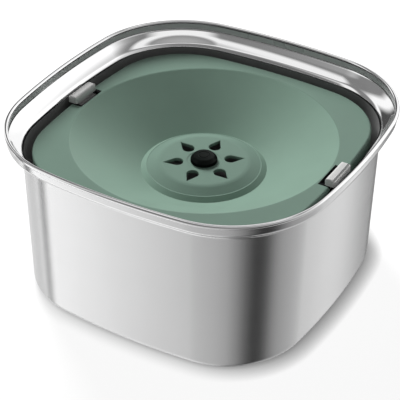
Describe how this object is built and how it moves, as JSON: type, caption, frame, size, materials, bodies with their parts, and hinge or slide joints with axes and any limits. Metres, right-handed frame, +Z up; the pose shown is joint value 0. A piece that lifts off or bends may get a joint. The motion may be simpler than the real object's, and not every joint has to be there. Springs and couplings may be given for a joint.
{
  "type": "no-spill dog bowl",
  "caption": "Rounded-square steel water bowl with a floating dished plate, teardrop water holes and sliding latches that hold the plate in.",
  "frame": {"origin": "middle of the resting face under the bowl", "axes": "+Z up, +X through the right latch, -Y towards the viewer's left front side"},
  "size_m": [0.2398, 0.2398, 0.1259],
  "materials": {
    "steel": "satin wall, polished rim",
    "green_plastic": "smooth, slightly glossy",
    "dark_plastic": "matte",
    "black_plastic": "satin",
    "grey_plastic": "smooth matte",
    "seal_rubber": "matte",
    "screw_steel": "plain"
  },
  "bodies": {
    "bowl": {"bowl_shell": "steel", "base_ring": "seal_rubber"},
    "float": {"float_plate": "green_plastic", "float_cover": "dark_plastic", "outer_seal": "seal_rubber", "inner_seal": "seal_rubber", "cover_screws": "screw_steel", "centre_cap": "black_plastic", "cap_clip": "screw_steel", "track_left": "black_plastic", "track_right": "black_plastic", "track_screws": "screw_steel"},
    "latch_left": {"latch_left": "grey_plastic"},
    "latch_right": {"latch_right": "grey_plastic"}
  },
  "joints": [
    {"name": "float_rise", "type": "slide", "parent": "bowl", "child": "float", "axis": [0, 0, 1], "range_m": [-0.066, 0.006], "stiffness_N_per_m": 300, "springref_m": 0.009},
    {"name": "latch_left_slide", "type": "slide", "parent": "float", "child": "latch_left", "axis": [1, 0, 0], "range_m": [0, 0.0036]},
    {"name": "latch_right_slide", "type": "slide", "parent": "float", "child": "latch_right", "axis": [-1, 0, 0], "range_m": [0, 0.0036]}
  ]
}
